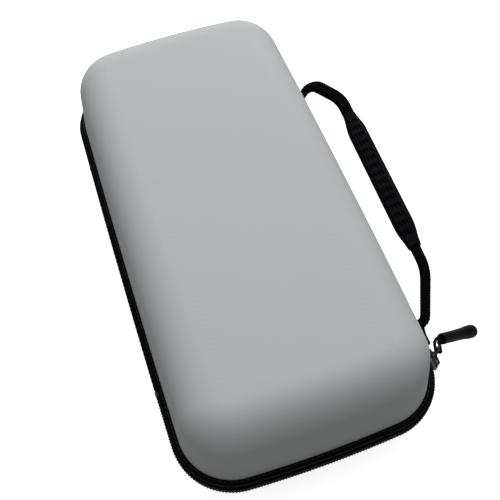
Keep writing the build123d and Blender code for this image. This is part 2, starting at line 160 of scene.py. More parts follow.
def grown(name, tree, body=None, place=None, thickness=0.0, closed=True, sharp=40.0, **values):
    """Runs a geometry tree with these inputs and returns the result as a plain mesh object."""
    seed = bpy.data.objects.new("seed", bpy.data.meshes.new("seed"))
    bpy.context.scene.collection.objects.link(seed)
    modifier = seed.modifiers.new("tree", "NODES")
    modifier.node_group = tree
    for item in tree.interface.items_tree:
        key = item.name.replace(" ", "_")
        if item.in_out == "INPUT" and key in values:
            modifier[item.identifier] = values[key]
    if thickness:
        wall = seed.modifiers.new("wall", "SOLIDIFY")
        wall.thickness = thickness * MM
        wall.offset = -1
    bpy.context.view_layer.update()
    depsgraph = bpy.context.evaluated_depsgraph_get()
    mesh = bpy.data.meshes.new_from_object(seed.evaluated_get(depsgraph), depsgraph=depsgraph)
    bpy.data.objects.remove(seed)
    mesh.name = name
    tidy_mesh(mesh, closed, sharp)
    if place is not None:
        mesh.transform(place)
    piece = bpy.data.objects.new(name, mesh)
    bpy.context.scene.collection.objects.link(piece)
    if body:
        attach(piece, body)
    return piece


def line_object(points, cyclic=False, radii=None, kind="POLY"):
    """A curve through points in millimetres, for a tree to follow."""
    curve = bpy.data.curves.new("line", "CURVE")
    curve.dimensions = "3D"
    curve.twist_mode = "Z_UP"
    spline = curve.splines.new(kind)
    spline.points.add(len(points) - 1)
    for i, p in enumerate(points):
        x, y, z = (*p, 0.0)[:3]
        spline.points[i].co = (x * MM, y * MM, z * MM, 1.0)
        spline.points[i].radius = radii[i] * MM if radii else 1.0
    if kind == "NURBS":
        spline.order_u = 3
        spline.use_endpoint_u = True
        spline.resolution_u = 12
    spline.use_cyclic_u = cyclic
    line = bpy.data.objects.new("line", curve)
    bpy.context.scene.collection.objects.link(line)
    return line


def drop_lines():
    """Removes the guide curves once every piece is a mesh."""
    for o in list(bpy.data.objects):
        if o.type == "CURVE" and o.name.startswith("line"):
            bpy.data.objects.remove(o)


# ---------------------------------------------------------------- the outline

def side_circle(half_chord, bow):
    """Radius and centre offset of the shallow arc through both corners of a side."""
    radius = (half_chord ** 2 + bow ** 2) / (2 * bow)
    return radius, bow - radius


SIDE_R, SIDE_SHIFT = side_circle(HALF_LENGTH, SIDE_BOW)
END_R, END_SHIFT = side_circle(HALF_WIDTH, END_BOW)
SIDE_CX, END_CY = HALF_WIDTH + SIDE_SHIFT, HALF_LENGTH + END_SHIFT


def corner_centre():
    """Centre of the corner arc that touches a long side and an end."""
    x, y = HALF_WIDTH - CORNER_R, HALF_LENGTH - CORNER_R
    for _ in range(40):
        x = SIDE_CX + math.sqrt((SIDE_R - CORNER_R) ** 2 - y ** 2)
        y = END_CY + math.sqrt((END_R - CORNER_R) ** 2 - x ** 2)
    return x, y


CORNER_X, CORNER_Y = corner_centre()
SIDE_END = math.atan2(CORNER_Y, CORNER_X - SIDE_CX)
CORNER_END = math.atan2(CORNER_Y - END_CY, CORNER_X)


def quarter(steps):
    """(x, y, outward angle) from the middle of the +X side to the middle of the +Y end."""
    runs = ((SIDE_CX, 0.0, SIDE_R, 0.0, SIDE_END), (CORNER_X, CORNER_Y, CORNER_R, SIDE_END, CORNER_END),
            (0.0, END_CY, END_R, CORNER_END, math.pi / 2))
    points = []
    for (cx, cy, r, a0, a1), n in zip(runs, steps):
        angles = [a0 + (a1 - a0) * i / n for i in range(n)]
        points += [(cx + r * math.cos(a), cy + r * math.sin(a), a) for a in angles]
    return points + [(0.0, END_CY + END_R, math.pi / 2)]


def outline(inset=0.0, steps=(34, 30, 14)):
    """The outline's points moved inward, clockwise from the middle of the hinge side and back to it."""
    one = quarter(steps)
    upper = [(-x, y, math.pi - a) for x, y, a in one] + [(x, y, a) for x, y, a in reversed(one)][1:]
    lower = [(x, -y, -a) for x, y, a in one][1:] + [(-x, -y, math.pi + a) for x, y, a in reversed(one)][1:]
    return [(x - inset * math.cos(a), y - inset * math.sin(a)) for x, y, a in upper + lower]


def side_x(y, inset=0.0):
    """x of the long side at a place along the case."""
    return SIDE_CX + math.sqrt((SIDE_R - inset) ** 2 - y ** 2)


def open_outline(inset, end_y):
    """The outline without the hinge's stretch, from one chain end round the case to the other."""
    points = outline(inset)
    kept = [p for p in points if not (p[0] < 0 and abs(p[1]) < end_y)]
    return [(-side_x(end_y, inset), end_y)] + kept + [(-side_x(end_y, inset), -end_y)]


# ---------------------------------------------------------------- geometry trees

def dome_tree():
    """A drafted wall that rolls over a large edge radius into a gently crowned top."""
    tree, given = new_tree("moulded dome", Path="Object", Wall_inset="Float", Height="Float",
                           Draft="Float", Edge_radius="Float", Crown="Float", Direction="Float",
                           Rim_height="Float", Material="Material")
    path = add(tree, "GeometryNodeObjectInfo", {"Object": given["Path"]}, out="Geometry")
    path = add(tree, "GeometryNodeSetCurveNormal", {"Curve": path}, mode="Z_UP")
    # the profile: foot of the wall, top edge, then rings over the top; x is the inset, y is -height
    index = add(tree, "GeometryNodeInputIndex")
    top_inset = add(tree, "ShaderNodeMath", {0: given["Draft"], 1: given["Height"], 2: given["Wall_inset"]},
                    operation="MULTIPLY_ADD")
    ring = add(tree, "ShaderNodeMath", {0: index, 1: -2.0}, operation="ADD")
    over = add(tree, "ShaderNodeMath", {0: ring, 1: 5 * MM, 2: 30 * MM}, operation="MULTIPLY_ADD")
    first = add(tree, "FunctionNodeCompare", {0: index, 1: 0.5}, operation="LESS_THAN")
    second = add(tree, "FunctionNodeCompare", {0: index, 1: 1.5}, operation="LESS_THAN")
    inset = add(tree, "GeometryNodeSwitch", {"Switch": second, "False": over, "True": top_inset},
                input_type="FLOAT")
    inset = add(tree, "GeometryNodeSwitch", {"Switch": first, "False": inset, "True": given["Wall_inset"]},
                input_type="FLOAT")
    height = add(tree, "GeometryNodeSwitch", {"Switch": first, "False": given["Height"], "True": 0.0},
                 input_type="FLOAT")
    down = add(tree, "ShaderNodeMath", {0: height, 1: -1.0}, operation="MULTIPLY")
    spot = add(tree, "ShaderNodeCombineXYZ", {"X": inset, "Y": down})
    points = add(tree, "GeometryNodeMeshLine", {"Count": 10})
    points = add(tree, "GeometryNodeSetPosition", {"Geometry": points, "Position": spot})
    profile = add(tree, "GeometryNodeMeshToCurve", {"Mesh": points})
    corner = add(tree, "FunctionNodeCompare", {0: index, 1: 1.0, "Epsilon": 0.1}, operation="EQUAL")
    bend = add(tree, "GeometryNodeSwitch", {"Switch": corner, "False": 0.0, "True": given["Edge_radius"]},
               input_type="FLOAT")
    profile = add(tree, "GeometryNodeFilletCurve", {"Curve": profile, "Count": 22, "Radius": bend},
                  mode="POLY")
    # carried from the path: its own place and its inward direction; from the profile: inset and height
    carried = add(tree, "GeometryNodeCaptureAttribute", out=None)
    for label in ("Place", "Inward"):
        carried.capture_items.new("VECTOR", label)
    tree.links.new(path, carried.inputs["Geometry"])
    tree.links.new(add(tree, "GeometryNodeInputPosition"), carried.inputs["Place"])
    tree.links.new(add(tree, "GeometryNodeInputNormal"), carried.inputs["Inward"])
    rolled = add(tree, "GeometryNodeCaptureAttribute", out=None)
    rolled.capture_items.new("VECTOR", "Shape")
    rolled.capture_items.new("FLOAT", "Length")
    tree.links.new(profile, rolled.inputs["Geometry"])
    tree.links.new(add(tree, "GeometryNodeInputPosition"), rolled.inputs["Shape"])
    tree.links.new(add(tree, "GeometryNodeSplineParameter", out="Length"), rolled.inputs["Length"])
    mesh = add(tree, "GeometryNodeCurveToMesh", {"Curve": carried.outputs["Geometry"],
                                                 "Profile Curve": rolled.outputs["Geometry"]})
    shape = add(tree, "ShaderNodeSeparateXYZ", {0: rolled.outputs["Shape"]}, out=None)
    closing = add(tree, "ShaderNodeMapRange", {"Value": shape.outputs["X"], "From Min": 30 * MM,
                                               "From Max": 65 * MM})
    held = add(tree, "ShaderNodeVectorMath", {0: carried.outputs["Inward"], "Scale": 30 * MM},
               operation="SCALE")
    edge = add(tree, "ShaderNodeVectorMath", {0: carried.outputs["Place"], 1: held}, operation="ADD")
    edge_y = add(tree, "ShaderNodeSeparateXYZ", {0: edge}, out="Y")
    spine_y = add(tree, "ShaderNodeClamp", {"Value": edge_y, "Min": -66 * MM, "Max": 66 * MM})
    spine = add(tree, "ShaderNodeCombineXYZ", {"Y": spine_y})
    top = add(tree, "ShaderNodeMix", {"Factor": closing, 4: edge, 5: spine}, out=1, data_type="VECTOR")
    reach = add(tree, "ShaderNodeVectorMath", {0: carried.outputs["Inward"], "Scale": shape.outputs["X"]},
                operation="SCALE")
    wall = add(tree, "ShaderNodeVectorMath", {0: carried.outputs["Place"], 1: reach}, operation="ADD")
    is_top = add(tree, "FunctionNodeCompare", {0: shape.outputs["X"], 1: 30 * MM}, operation="GREATER_THAN")
    flat = add(tree, "GeometryNodeSwitch", {"Switch": is_top, "False": wall, "True": top},
               input_type="VECTOR")
    # the crown: the top falls away from its middle, and not at all at the rim
    ratio = add(tree, "ShaderNodeVectorMath", {0: flat, 1: (1 / (62 * MM), 1 / (128 * MM), 0)},
                operation="MULTIPLY")
    out_from_middle = add(tree, "ShaderNodeVectorMath", {0: ratio, 1: ratio}, out="Value",
                          operation="DOT_PRODUCT")
    level = add(tree, "ShaderNodeMath", {0: shape.outputs["Y"], 1: -1.0}, operation="MULTIPLY")
    share = add(tree, "ShaderNodeMath", {0: level, 1: given["Height"]}, operation="DIVIDE")
    fall = add(tree, "ShaderNodeMath", {0: out_from_middle, 1: share}, operation="MULTIPLY")
    fall = add(tree, "ShaderNodeMath", {0: fall, 1: given["Crown"]}, operation="MULTIPLY")
    level = add(tree, "ShaderNodeMath", {0: level, 1: fall}, operation="SUBTRACT")
    z = add(tree, "ShaderNodeMath", {0: level, 1: given["Direction"], 2: given["Rim_height"]},
            operation="MULTIPLY_ADD")
    lift = add(tree, "ShaderNodeCombineXYZ", {"Z": z})
    place = add(tree, "ShaderNodeVectorMath", {0: flat, 1: lift}, operation="ADD")
    mesh = add(tree, "GeometryNodeSetPosition", {"Geometry": mesh, "Position": place})
    # the cloth's own flat coordinates: the top as it lies, and the wall unrolled outward from it
    unrolled = add(tree, "ShaderNodeMath", {0: rolled.outputs["Length"], 1: -24 * MM}, operation="ADD")
    reach = add(tree, "ShaderNodeVectorMath", {0: carried.outputs["Inward"], "Scale": unrolled},
                operation="SCALE")
    cut = add(tree, "ShaderNodeVectorMath", {0: carried.outputs["Place"], 1: reach}, operation="ADD")
    cut = add(tree, "GeometryNodeSwitch", {"Switch": is_top, "False": cut, "True": flat},
              input_type="VECTOR")
    mesh = add(tree, "GeometryNodeStoreNamedAttribute", {"Geometry": mesh, "Name": "cloth", "Value": cut},
               data_type="FLOAT2", domain="CORNER")
    mesh = add(tree, "GeometryNodeMergeByDistance", {"Geometry": mesh, "Distance": 0.01 * MM})
    return close_tree(tree, mesh, given["Material"])


def section_tree():
    """A closed section swept along a path, with its lengths along and around kept for the weave."""
    tree, given = new_tree("swept section", Path="Object", Section="Object", Corner_radius="Float",
                           Material="Material")
    path = add(tree, "GeometryNodeObjectInfo", {"Object": given["Path"]}, out="Geometry")
    path = add(tree, "GeometryNodeSetCurveNormal", {"Curve": path}, mode="Z_UP")
    section = add(tree, "GeometryNodeObjectInfo", {"Object": given["Section"]}, out="Geometry")
    section = add(tree, "GeometryNodeFilletCurve", {"Curve": section, "Count": 4, "Limit Radius": True,
                                                    "Radius": given["Corner_radius"]}, mode="POLY")
    along = add(tree, "GeometryNodeCaptureAttribute", out=None)
    around = add(tree, "GeometryNodeCaptureAttribute", out=None)
    for node, curve in ((along, path), (around, section)):
        node.capture_items.new("FLOAT", "Length")
        tree.links.new(curve, node.inputs["Geometry"])
        tree.links.new(add(tree, "GeometryNodeSplineParameter", out="Length"), node.inputs["Length"])
    mesh = add(tree, "GeometryNodeCurveToMesh", {"Curve": along.outputs["Geometry"], "Fill Caps": True,
                                                 "Profile Curve": around.outputs["Geometry"]})
    cut = add(tree, "ShaderNodeCombineXYZ", {"X": along.outputs["Length"], "Y": around.outputs["Length"]})
    mesh = add(tree, "GeometryNodeStoreNamedAttribute", {"Geometry": mesh, "Name": "cloth", "Value": cut},
               data_type="FLOAT2", domain="CORNER")
    mesh = add(tree, "GeometryNodeMergeByDistance", {"Geometry": mesh, "Distance": 0.01 * MM})
    return close_tree(tree, mesh, given["Material"])


def coil_tree():
    """One half of a coil zipper: a nylon filament wound in flattened turns along the path."""
    tree, given = new_tree("coil filament", Path="Object", Pitch="Float", Depth="Float", Height="Float",
                           Filament_radius="Float", Turn_shift="Float", Material="Material")
    path = add(tree, "GeometryNodeObjectInfo", {"Object": given["Path"]}, out="Geometry")
    step = add(tree, "ShaderNodeMath", {0: given["Pitch"], 1: 12.0}, operation="DIVIDE")
    path = add(tree, "GeometryNodeResampleCurve", {"Curve": path, "Length": step}, mode="LENGTH")
    path = add(tree, "GeometryNodeSetCurveNormal", {"Curve": path}, mode="Z_UP")
    length = add(tree, "GeometryNodeSplineParameter", out="Length")
    turns = add(tree, "ShaderNodeMath", {0: length, 1: given["Pitch"]}, operation="DIVIDE")
    turns = add(tree, "ShaderNodeMath", {0: turns, 1: given["Turn_shift"]}, operation="ADD")
    angle = add(tree, "ShaderNodeMath", {0: turns, 1: 2 * math.pi}, operation="MULTIPLY")
    offsets = []
    for wave, size in (("COSINE", "Depth"), ("SINE", "Height")):
        swing = add(tree, "ShaderNodeMath", {0: angle}, operation=wave)
        swing = add(tree, "ShaderNodeMath", {0: swing, 1: 1.3}, operation="MULTIPLY")
        swing = add(tree, "ShaderNodeClamp", {"Value": swing, "Min": -1.0, "Max": 1.0})
        half = add(tree, "ShaderNodeMath", {0: given[size], 1: 0.5}, operation="MULTIPLY")
        half = add(tree, "ShaderNodeMath", {0: half, 1: given["Filament_radius"]}, operation="SUBTRACT")
        offsets.append(add(tree, "ShaderNodeMath", {0: swing, 1: half}, operation="MULTIPLY"))
    inward = add(tree, "ShaderNodeVectorMath", {0: add(tree, "GeometryNodeInputNormal"), "Scale": offsets[0]},
                 operation="SCALE")
    upward = add(tree, "ShaderNodeCombineXYZ", {"Z": offsets[1]})
    offset = add(tree, "ShaderNodeVectorMath", {0: inward, 1: upward}, operation="ADD")
    path = add(tree, "GeometryNodeSetPosition", {"Geometry": path, "Offset": offset})
    round_wire = add(tree, "GeometryNodeCurvePrimitiveCircle", {"Resolution": 6,
                                                                "Radius": given["Filament_radius"]})
    mesh = add(tree, "GeometryNodeCurveToMesh", {"Curve": path, "Profile Curve": round_wire,
                                                 "Fill Caps": True})
    return close_tree(tree, mesh, given["Material"])


def stitch_tree():
    """A row of lockstitches: short rounded threads set along a path."""
    tree, given = new_tree("stitch row", Path="Object", Pitch="Float", Stitch_length="Float",
                           Thread_radius="Float", Material="Material")
    path = add(tree, "GeometryNodeObjectInfo", {"Object": given["Path"]}, out="Geometry")
    path = add(tree, "GeometryNodeResampleCurve", {"Curve": path, "Length": given["Pitch"]}, mode="LENGTH")
    points = add(tree, "GeometryNodeCurveToPoints", {"Curve": path}, out=None, mode="EVALUATED")
    thread = add(tree, "GeometryNodeMeshUVSphere", {"Segments": 6, "Rings": 5, "Radius": 1.0})
    half = add(tree, "ShaderNodeMath", {0: given["Stitch_length"], 1: 0.5}, operation="MULTIPLY")
    size = add(tree, "ShaderNodeCombineXYZ", {"X": given["Thread_radius"], "Y": given["Thread_radius"],
                                              "Z": half})
    turn = add(tree, "FunctionNodeAlignRotationToVector", {"Vector": points.outputs["Tangent"]}, axis="Z")
    row = add(tree, "GeometryNodeInstanceOnPoints", {"Points": points.outputs["Points"], "Instance": thread,
                                                     "Rotation": turn, "Scale": size})
    return close_tree(tree, row, given["Material"])


def strap_tree():
    """Woven webbing bent along a route, with the ribs of its weave standing out at both edges."""
    tree, given = new_tree("woven strap", Path="Object", Width="Float", Thickness="Float",
                           Rib_pitch="Float", Rib_height="Float", Near_spread="Float",
                           Far_spread="Float", Material="Material")
    path = add(tree, "GeometryNodeObjectInfo", {"Object": given["Path"]}, out="Geometry")
    bends = add(tree, "GeometryNodeInputRadius")
    path = add(tree, "GeometryNodeFilletCurve", {"Curve": path, "Count": 24, "Radius": bends,
                                                 "Limit Radius": True}, mode="POLY")
    path = add(tree, "GeometryNodeResampleCurve", {"Curve": path, "Length": 0.21 * MM}, mode="LENGTH")
    # the strap widens towards the far end, and narrows again where it meets its patch
    factor = add(tree, "GeometryNodeSplineParameter")
    widening = add(tree, "ShaderNodeMapRange", {"Value": factor, "To Min": given["Near_spread"],
                                                "To Max": given["Far_spread"]})
    at_patch = add(tree, "ShaderNodeMapRange", {"Value": factor, "From Min": 0.91, "From Max": 0.97,
                                                "To Min": given["Far_spread"],
                                                "To Max": STRAP_PATCH_SPREAD})
    spread = add(tree, "ShaderNodeMath", {0: widening, 1: at_patch}, operation="MINIMUM")
    path = add(tree, "GeometryNodeSetCurveNormal", {"Curve": path}, mode="Z_UP")
    section = add(tree, "GeometryNodeCurvePrimitiveQuadrilateral", {"Width": given["Width"],
                                                                    "Height": given["Thickness"]})
    section = add(tree, "GeometryNodeFilletCurve", {"Curve": section, "Count": 5, "Radius": 1.2 * MM,
                                                    "Limit Radius": True}, mode="POLY")
    section = add(tree, "GeometryNodeResampleCurve", {"Curve": section, "Count": 36}, mode="COUNT")
    along = add(tree, "GeometryNodeCaptureAttribute", out=None)
    around = add(tree, "GeometryNodeCaptureAttribute", out=None)
    for node, curve in ((along, path), (around, section)):
        node.capture_items.new("FLOAT", "Length")
        tree.links.new(curve, node.inputs["Geometry"])
        tree.links.new(add(tree, "GeometryNodeSplineParameter", out="Length"), node.inputs["Length"])
    around.capture_items.new("VECTOR", "Spot")
    tree.links.new(add(tree, "GeometryNodeInputPosition"), around.inputs["Spot"])
    mesh = add(tree, "GeometryNodeCurveToMesh", {"Curve": along.outputs["Geometry"], "Fill Caps": True,
                                                 "Profile Curve": around.outputs["Geometry"],
                                                 "Scale": spread})
    # chevron ribs: the phase of each rib runs across the strap, so the faces read as plaited yarns
    across = add(tree, "ShaderNodeSeparateXYZ", {0: around.outputs["Spot"]}, out="X")
    slant = add(tree, "ShaderNodeMath", {0: across}, operation="ABSOLUTE")
    phase = add(tree, "ShaderNodeMath", {0: slant, 1: 0.55, 2: along.outputs["Length"]},
                operation="MULTIPLY_ADD")
    phase = add(tree, "ShaderNodeMath", {0: phase, 1: given["Rib_pitch"]}, operation="DIVIDE")
    phase = add(tree, "ShaderNodeMath", {0: phase, 1: math.pi}, operation="MULTIPLY")
    rib = add(tree, "ShaderNodeMath", {0: phase}, operation="SINE")
    rib = add(tree, "ShaderNodeMath", {0: rib}, operation="ABSOLUTE")
    rib = add(tree, "ShaderNodeMath", {0: rib, 1: -0.4}, operation="ADD")
    lift = add(tree, "ShaderNodeMath", {0: rib, 1: given["Rib_height"]}, operation="MULTIPLY")
    offset = add(tree, "ShaderNodeVectorMath", {0: add(tree, "GeometryNodeInputNormal"), "Scale": lift},
                 operation="SCALE")
    mesh = add(tree, "GeometryNodeSetPosition", {"Geometry": mesh, "Offset": offset})
    cut = add(tree, "ShaderNodeCombineXYZ", {"X": along.outputs["Length"], "Y": around.outputs["Length"]})
    mesh = add(tree, "GeometryNodeStoreNamedAttribute", {"Geometry": mesh, "Name": "cloth", "Value": cut},
               data_type="FLOAT2", domain="CORNER")
    return close_tree(tree, mesh, given["Material"])


def grip_tree():
    """A moulded grip, boat shaped both ways, with rows of small rounded pockets on both faces."""
    tree, given = new_tree("moulded grip", Half_length="Float", Width="Float", Thickness="Float",
                           End_width="Float", End_thickness="Float", Taper="Float", Row_pitch="Float",
                           Rows="Float", Column_pitch="Float", Columns="Float", Shift="Float",
                           Pocket_across="Float", Pocket_along="Float", Pocket_depth="Float",
                           Material="Material")
    start = add(tree, "ShaderNodeMath", {0: given["Half_length"], 1: -1.0}, operation="MULTIPLY")
    near_end = add(tree, "ShaderNodeCombineXYZ", {"Y": start})
    far_end = add(tree, "ShaderNodeCombineXYZ", {"Y": given["Half_length"]})
    line = add(tree, "GeometryNodeCurvePrimitiveLine", {"Start": near_end, "End": far_end})
    line = add(tree, "GeometryNodeResampleCurve", {"Curve": line, "Length": 0.36 * MM}, mode="LENGTH")
    line = add(tree, "GeometryNodeSetCurveNormal", {"Curve": line}, mode="Z_UP")
    section = add(tree, "GeometryNodeCurvePrimitiveQuadrilateral", {"Width": given["Width"],
                                                                    "Height": given["Thickness"]})
    section = add(tree, "GeometryNodeFilletCurve", {"Curve": section, "Count": 8, "Radius": 2.4 * MM,
                                                    "Limit Radius": True}, mode="POLY")
    section = add(tree, "GeometryNodeResampleCurve", {"Curve": section, "Length": 0.22 * MM}, mode="LENGTH")
    mesh = add(tree, "GeometryNodeCurveToMesh", {"Curve": line, "Profile Curve": section, "Fill Caps": True})
    place = add(tree, "GeometryNodeInputPosition")
    parts = add(tree, "ShaderNodeSeparateXYZ", {0: place}, out=None)
    distance = add(tree, "ShaderNodeMath", {0: parts.outputs["Y"]}, operation="ABSOLUTE")
    # how far into the taper a point is, and the round-over of the last 1.5 mm
    taper_start = add(tree, "ShaderNodeMath", {0: given["Half_length"], 1: given["Taper"]},
                      operation="SUBTRACT")
    into = add(tree, "ShaderNodeMapRange", {"Value": distance, "From Min": taper_start,
                                            "From Max": given["Half_length"]},
               interpolation_type="SMOOTHSTEP")
    lip_start = add(tree, "ShaderNodeMath", {0: given["Half_length"], 1: -1.5 * MM}, operation="ADD")
    lip = add(tree, "ShaderNodeMapRange", {"Value": distance, "From Min": lip_start,
                                           "From Max": given["Half_length"]})
    lip = add(tree, "ShaderNodeMath", {0: lip, 1: 2.5}, operation="POWER")
    lip = add(tree, "ShaderNodeMath", {0: lip, 1: -0.16, 2: 1.0}, operation="MULTIPLY_ADD")
    scales = []
    for end, full in (("End_width", "Width"), ("End_thickness", "Thickness")):
        ratio = add(tree, "ShaderNodeMath", {0: given[end], 1: given[full]}, operation="DIVIDE")
        ratio = add(tree, "ShaderNodeMapRange", {"Value": into, "To Min": 1.0, "To Max": ratio})
        scales.append(add(tree, "ShaderNodeMath", {0: ratio, 1: lip}, operation="MULTIPLY"))
    # pockets: near the middle of their cells in both directions, inside the rows and columns
    masks = []
    directions = (("X", "Shift", "Column_pitch", "Columns", "Pocket_across", 0.3),
                  ("Y", None, "Row_pitch", "Rows", "Pocket_along", 0.5))
    for axis, shift, pitch, count, size, soft in directions:
        value = parts.outputs[axis]
        if shift:
            value = add(tree, "ShaderNodeMath", {0: value, 1: given[shift]}, operation="SUBTRACT")
        span = add(tree, "ShaderNodeMath", {0: given[pitch], 1: given[count]}, operation="MULTIPLY")
        half_span = add(tree, "ShaderNodeMath", {0: span, 1: 0.5}, operation="MULTIPLY")
        from_start = add(tree, "ShaderNodeMath", {0: value, 1: half_span}, operation="ADD")
        cell = add(tree, "ShaderNodeMath", {0: from_start, 1: given[pitch]}, operation="FLOORED_MODULO")
        half_pitch = add(tree, "ShaderNodeMath", {0: given[pitch], 1: 0.5}, operation="MULTIPLY")
        off = add(tree, "ShaderNodeMath", {0: cell, 1: half_pitch}, operation="SUBTRACT")
        off = add(tree, "ShaderNodeMath", {0: off}, operation="ABSOLUTE")
        half_size = add(tree, "ShaderNodeMath", {0: given[size], 1: 0.5}, operation="MULTIPLY")
        inner = add(tree, "ShaderNodeMath", {0: half_size, 1: -soft * MM}, operation="ADD")
        outer = add(tree, "ShaderNodeMath", {0: half_size, 1: soft * MM}, operation="ADD")
        masks.append(add(tree, "ShaderNodeMapRange", {"Value": off, "From Min": outer, "From Max": inner},
                         interpolation_type="SMOOTHSTEP"))
        size_of = add(tree, "ShaderNodeMath", {0: value}, operation="ABSOLUTE")
        masks.append(add(tree, "ShaderNodeMath", {0: size_of, 1: half_span}, operation="LESS_THAN"))
    mask = masks[0]
    for other in masks[1:]:
        mask = add(tree, "ShaderNodeMath", {0: mask, 1: other}, operation="MULTIPLY")
    side = add(tree, "ShaderNodeMath", {0: parts.outputs["Z"]}, operation="SIGN")
    depth = add(tree, "ShaderNodeMath", {0: mask, 1: given["Pocket_depth"]}, operation="MULTIPLY")
    depth = add(tree, "ShaderNodeMath", {0: depth, 1: side}, operation="MULTIPLY")
    x = add(tree, "ShaderNodeMath", {0: parts.outputs["X"], 1: scales[0]}, operation="MULTIPLY")
    z = add(tree, "ShaderNodeMath", {0: parts.outputs["Z"], 1: scales[1]}, operation="MULTIPLY")
    z = add(tree, "ShaderNodeMath", {0: z, 1: depth}, operation="SUBTRACT")
    shaped = add(tree, "ShaderNodeCombineXYZ", {"X": x, "Y": parts.outputs["Y"], "Z": z})
    mesh = add(tree, "GeometryNodeSetPosition", {"Geometry": mesh, "Position": shaped})
    return close_tree(tree, mesh, given["Material"])


def net_tree():
    """A knitted net: every edge of a flat guide mesh becomes a thin square strand."""
    tree, given = new_tree("knitted net", Guide="Object", Strand="Float", Material="Material")
    guide = add(tree, "GeometryNodeObjectInfo", {"Object": given["Guide"]}, out="Geometry")
    curve = add(tree, "GeometryNodeMeshToCurve", {"Mesh": guide})
    curve = add(tree, "GeometryNodeSetCurveNormal", {"Curve": curve}, mode="Z_UP")
    strand = add(tree, "GeometryNodeCurvePrimitiveQuadrilateral", {"Width": given["Strand"],
                                                                   "Height": given["Strand"]})
    mesh = add(tree, "GeometryNodeCurveToMesh", {"Curve": curve, "Profile Curve": strand, "Fill Caps": True})
    return close_tree(tree, mesh, given["Material"])


# ---------------------------------------------------------------- materials

def new_material(name, **shader):
    """A material with a Principled shader set from plain values; returns it with its tree and shader."""
    material = bpy.data.materials.new(name)
    material.use_nodes = True
    tree = material.node_tree
    tree.nodes.clear()
    surface = add(tree, "ShaderNodeBsdfPrincipled", {k.replace("_", " "): v for k, v in shader.items()},
                  out=None)
    add(tree, "ShaderNodeOutputMaterial", {"Surface": surface.outputs[0]}, out=None)
    return material, tree, surface


def finish_surface(tree, surface, height, pattern, dark, light, rough, strength, distance):
    """Colour and roughness run between two values over a pattern, and its height gives the relief."""
    colour = add(tree, "ShaderNodeMix", {"Factor": pattern, 6: linear(dark), 7: linear(light)}, out=2,
                 data_type="RGBA")
    tree.links.new(colour, surface.inputs["Base Color"])
    gloss = add(tree, "ShaderNodeMapRange", {"Value": pattern, "To Min": rough[0], "To Max": rough[1]})
    tree.links.new(gloss, surface.inputs["Roughness"])
    relief = add(tree, "ShaderNodeBump", {"Height": height, "Strength": strength, "Distance": distance * MM})
    tree.links.new(relief, surface.inputs["Normal"])


def woven(name, dark, light, warp, weft, slant=0.0, wear=0.3, rough=(0.9, 0.75), strength=0.5,
          relief=0.12, **shader):
    """Threads that cross at two spacings in millimetres, read from the cloth's own flat coordinates."""
    material, tree, surface = new_material(name, **shader)
    cloth = add(tree, "ShaderNodeUVMap", uv_map="cloth")
    turned = add(tree, "ShaderNodeMapping", {"Vector": cloth, "Rotation": (0, 0, math.radians(slant)),
                                             "Scale": (1000, 1000, 1000)})
    parts = add(tree, "ShaderNodeSeparateXYZ", {0: turned}, out=None)
    waves = []
    for axis, pitch in (("X", warp), ("Y", weft)):
        turns = add(tree, "ShaderNodeMath", {0: parts.outputs[axis], 1: 2 * math.pi / pitch},
                    operation="MULTIPLY")
        waves.append(add(tree, "ShaderNodeMath", {0: turns}, operation="SINE"))
    crossing = add(tree, "ShaderNodeMath", {0: waves[0], 1: waves[1]}, operation="MULTIPLY")
    threads = add(tree, "ShaderNodeMath", {0: crossing, 1: 0.5, 2: 0.5}, operation="MULTIPLY_ADD")
    grain = add(tree, "ShaderNodeTexNoise", {"Vector": turned, "Scale": 0.35, "Detail": 5.0,
                                             "Roughness": 0.6})
    pattern = add(tree, "ShaderNodeMix", {"Factor": wear, 2: threads, 3: grain}, data_type="FLOAT")
    finish_surface(tree, surface, threads, pattern, dark, light, rough, strength, relief)
    return material


def shell_laminate():
    """Polyester twill heat laminated to EVA foam: pale, matt, with fine slanted wales and a faint nap."""
    material, tree, surface = new_material("twill_laminate_on_EVA", Sheen_Weight=0.04, Sheen_Roughness=0.5,
                                           Specular_IOR_Level=0.12)
    cloth = add(tree, "ShaderNodeUVMap", uv_map="cloth")
    # wales are 0.5 mm apart on the real cloth, and drawn 1.25 mm apart so that they show
    turned = add(tree, "ShaderNodeMapping", {"Vector": cloth, "Rotation": (0, 0, math.radians(-31)),
                                             "Scale": (1000, 1000, 1000)})
    parts = add(tree, "ShaderNodeSeparateXYZ", {0: turned}, out=None)
    wobble = add(tree, "ShaderNodeTexNoise", {"Vector": turned, "Scale": 0.09, "Detail": 2.0})
    across = add(tree, "ShaderNodeMath", {0: wobble, 1: 0.9, 2: parts.outputs["X"]},
                 operation="MULTIPLY_ADD")
    turns = add(tree, "ShaderNodeMath", {0: across, 1: 2 * math.pi / 1.25}, operation="MULTIPLY")
    wale = add(tree, "ShaderNodeMath", {0: turns}, operation="SINE")
    wale = add(tree, "ShaderNodeMath", {0: wale, 1: 0.5, 2: 0.5}, operation="MULTIPLY_ADD")
    pick = add(tree, "ShaderNodeMath", {0: parts.outputs["Y"], 1: 2 * math.pi / 0.9}, operation="MULTIPLY")
    pick = add(tree, "ShaderNodeMath", {0: pick, 1: turns}, operation="ADD")
    pick = add(tree, "ShaderNodeMath", {0: pick}, operation="SINE")
    threads = add(tree, "ShaderNodeMath", {0: pick, 1: 0.22, 2: wale}, operation="MULTIPLY_ADD")
    mottle = add(tree, "ShaderNodeTexNoise", {"Vector": turned, "Scale": 0.045, "Detail": 6.0,
                                              "Roughness": 0.62})
    pattern = add(tree, "ShaderNodeMix", {"Factor": 0.45, 2: threads, 3: mottle}, data_type="FLOAT")
    finish_surface(tree, surface, threads, pattern, "#B2B6B6", "#B6BABA", (0.92, 0.86), 0.1, 0.02)
    return material


